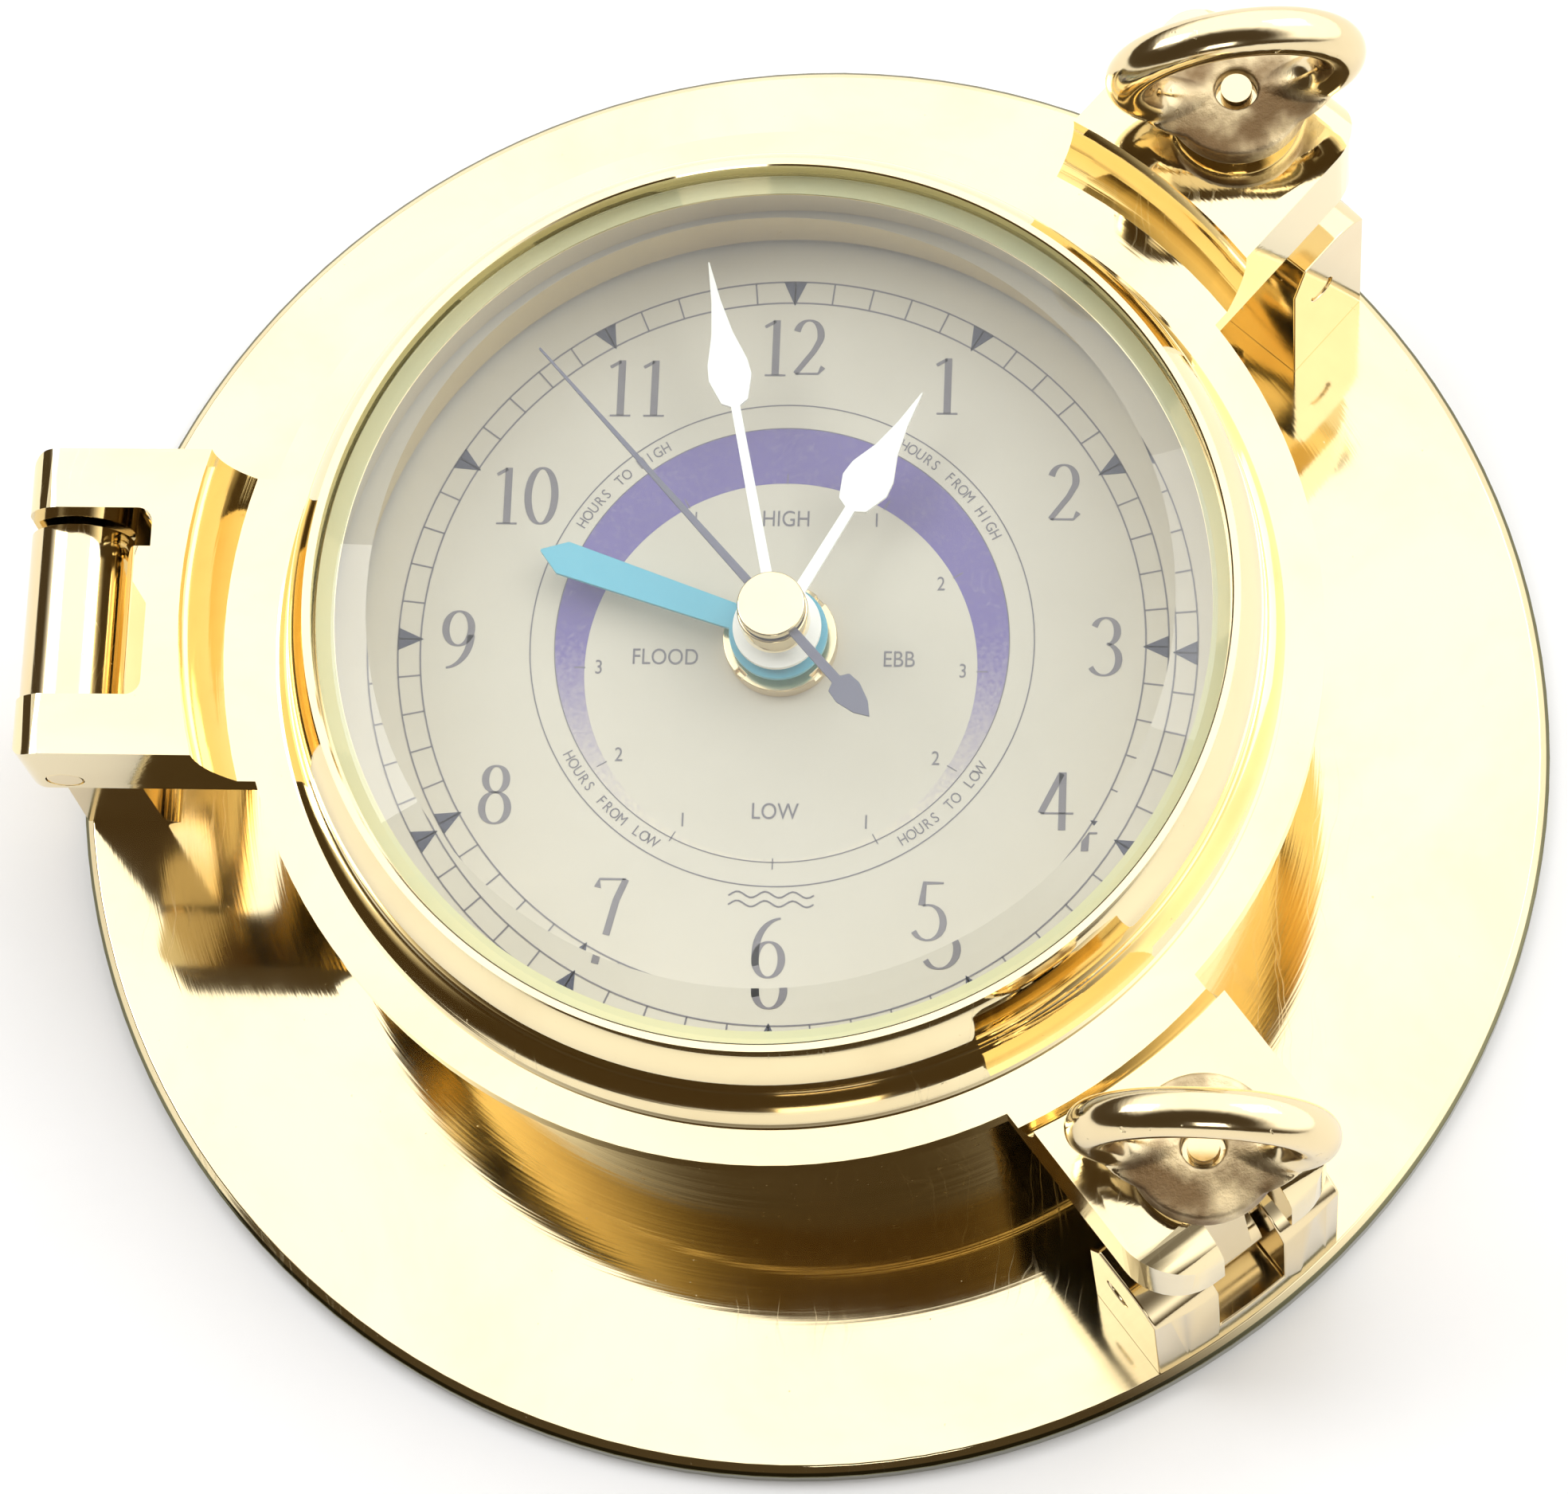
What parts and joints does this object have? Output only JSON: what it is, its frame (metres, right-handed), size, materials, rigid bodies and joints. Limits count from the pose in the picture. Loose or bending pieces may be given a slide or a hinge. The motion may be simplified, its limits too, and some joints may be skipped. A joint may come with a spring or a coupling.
{
  "type": "porthole deck clock",
  "caption": "Wall-mounted brass porthole clock: hinged glazed door held by swing-bolt dogs, over a time-and-tide dial and a geared quartz movement.",
  "frame": {"origin": "centre of the back face of the round base plate", "axes": "+Z out of the dial towards the reader, +Y towards 12 o'clock, +X towards 3 o'clock"},
  "size_m": [0.15, 0.15, 0.0671],
  "materials": {
    "case_brass": "polished, fine brush lines, lacquered",
    "screw_brass": "turned",
    "dial_enamel": "matt cream enamel with grey print",
    "glass": "polished, bevelled edge",
    "seal_rubber": "matt",
    "clear_gasket": "soft clear gasket, faintly green",
    "case_plastic": "fine moulded texture",
    "gear_plastic": "moulded acetal",
    "steel": "drawn steel",
    "magnet": "ground ferrite",
    "copper_wire": "enamelled copper winding",
    "board": "varnished circuit board",
    "battery_jacket": "plain printed jacket",
    "hand_white": "satin white paint",
    "hand_blue": "satin pale blue paint",
    "hand_grey": "satin grey paint"
  },
  "bodies": {
    "base": {"base_plate": "case_brass", "case_barrel": "case_brass", "barrel_screws": "screw_brass", "post_screws": "screw_brass", "clevis_screws": "screw_brass", "hinge_post": "case_brass", "dial_plate": "dial_enamel", "dial_screws": "screw_brass", "dial_washer": "seal_rubber", "centre_bushing": "screw_brass", "fixing_nut": "screw_brass", "movement_front": "case_plastic", "movement_back": "case_plastic", "coil": "copper_wire", "coil_core": "steel", "stator": "steel", "circuit_board": "board", "chip": "case_plastic", "quartz_crystal": "steel", "battery_tray": "case_plastic", "battery": "battery_jacket", "contact_plus": "steel", "contact_minus": "steel", "upper_clevis": "case_brass", "lower_clevis": "case_brass", "upper_pivot_pin": "case_brass", "lower_pivot_pin": "case_brass"},
    "door": {"door_ring": "case_brass", "door_seal": "seal_rubber", "bezel": "case_brass", "glass": "glass", "glass_gasket": "clear_gasket", "hinge_pin": "case_brass"},
    "upper_bolt": {"upper_bolt": "case_brass"},
    "upper_nut": {"upper_nut": "case_brass"},
    "lower_bolt": {"lower_bolt": "case_brass"},
    "lower_nut": {"lower_nut": "case_brass"},
    "seconds": {"second_wheel": "gear_plastic", "second_hand": "hand_grey", "hand_cap": "case_brass"},
    "third": {"third_wheel": "gear_plastic"},
    "minutes": {"centre_wheel": "gear_plastic", "minute_hand": "hand_white", "hand_nut": "case_brass"},
    "minute_works": {"minute_wheel": "gear_plastic", "time_knob": "case_plastic"},
    "hours": {"hour_wheel": "gear_plastic", "hour_hand": "hand_white"},
    "tide": {"tide_wheel": "gear_plastic", "tide_hand": "hand_blue"},
    "tide_setting": {"tide_setting_wheel": "gear_plastic", "tide_knob": "case_plastic"},
    "fifth": {"fifth_wheel": "gear_plastic"},
    "rotor": {"rotor": "magnet"}
  },
  "joints": [
    {"name": "door_hinge", "type": "hinge", "parent": "base", "child": "door", "pos_m": [-0.0685, 0, 0.039], "axis": [0, -1, 0], "range_deg": [0, 104]},
    {"name": "upper_bolt_swing", "type": "hinge", "parent": "base", "child": "upper_bolt", "pos_m": [0.04307, 0.05133, 0.018], "axis": [-0.766, 0.6428, 0], "range_deg": [0, 90]},
    {"name": "upper_nut_turn", "type": "hinge", "parent": "upper_bolt", "child": "upper_nut", "pos_m": [0.04307, 0.05133, 0.0481], "axis": [0, 0, 1], "continuous": true},
    {"name": "lower_bolt_swing", "type": "hinge", "parent": "base", "child": "lower_bolt", "pos_m": [0.04171, -0.05243, 0.018], "axis": [0.7826, 0.6225, 0], "range_deg": [0, 90]},
    {"name": "lower_nut_turn", "type": "hinge", "parent": "lower_bolt", "child": "lower_nut", "pos_m": [0.04171, -0.05243, 0.0481], "axis": [0, 0, 1], "continuous": true},
    {"name": "seconds_turn", "type": "hinge", "parent": "base", "child": "seconds", "pos_m": [0, 0, 0.021], "axis": [0, 0, -1], "continuous": true},
    {"name": "third_turn", "type": "hinge", "parent": "base", "child": "third", "pos_m": [0.01061, 0.01061, 0.024], "axis": [0, 0, -1], "continuous": true},
    {"name": "minutes_turn", "type": "hinge", "parent": "base", "child": "minutes", "pos_m": [0, 0, 0.026], "axis": [0, 0, -1], "continuous": true},
    {"name": "minute_works_turn", "type": "hinge", "parent": "base", "child": "minute_works", "pos_m": [-0.01131, 0.01131, 0.028], "axis": [0, 0, -1], "continuous": true},
    {"name": "hours_turn", "type": "hinge", "parent": "base", "child": "hours", "pos_m": [0, 0, 0.029], "axis": [0, 0, -1], "continuous": true},
    {"name": "tide_turn", "type": "hinge", "parent": "base", "child": "tide", "pos_m": [0, 0, 0.031], "axis": [0, 0, -1], "continuous": true},
    {"name": "tide_setting_turn", "type": "hinge", "parent": "base", "child": "tide_setting", "pos_m": [-0.01629, -0.00593, 0.031], "axis": [0, 0, -1], "continuous": true},
    {"name": "fifth_turn", "type": "hinge", "parent": "base", "child": "fifth", "pos_m": [0.007, -0.01212, 0.02], "axis": [0, 0, -1], "continuous": true},
    {"name": "rotor_turn", "type": "hinge", "parent": "base", "child": "rotor", "pos_m": [0.0166, -0.01212, 0.02], "axis": [0, 0, -1], "continuous": true}
  ],
  "couplings": [
    {"joint": "third_turn", "follows": "seconds_turn", "ratio": -0.13333},
    {"joint": "minutes_turn", "follows": "seconds_turn", "ratio": 0.016667},
    {"joint": "minute_works_turn", "follows": "seconds_turn", "ratio": -0.0055556},
    {"joint": "hours_turn", "follows": "seconds_turn", "ratio": 0.0013889},
    {"joint": "tide_turn", "follows": "seconds_turn", "ratio": 0.001341},
    {"joint": "tide_setting_turn", "follows": "seconds_turn", "ratio": -0.0038889},
    {"joint": "fifth_turn", "follows": "seconds_turn", "ratio": -6},
    {"joint": "rotor_turn", "follows": "seconds_turn", "ratio": 30}
  ]
}
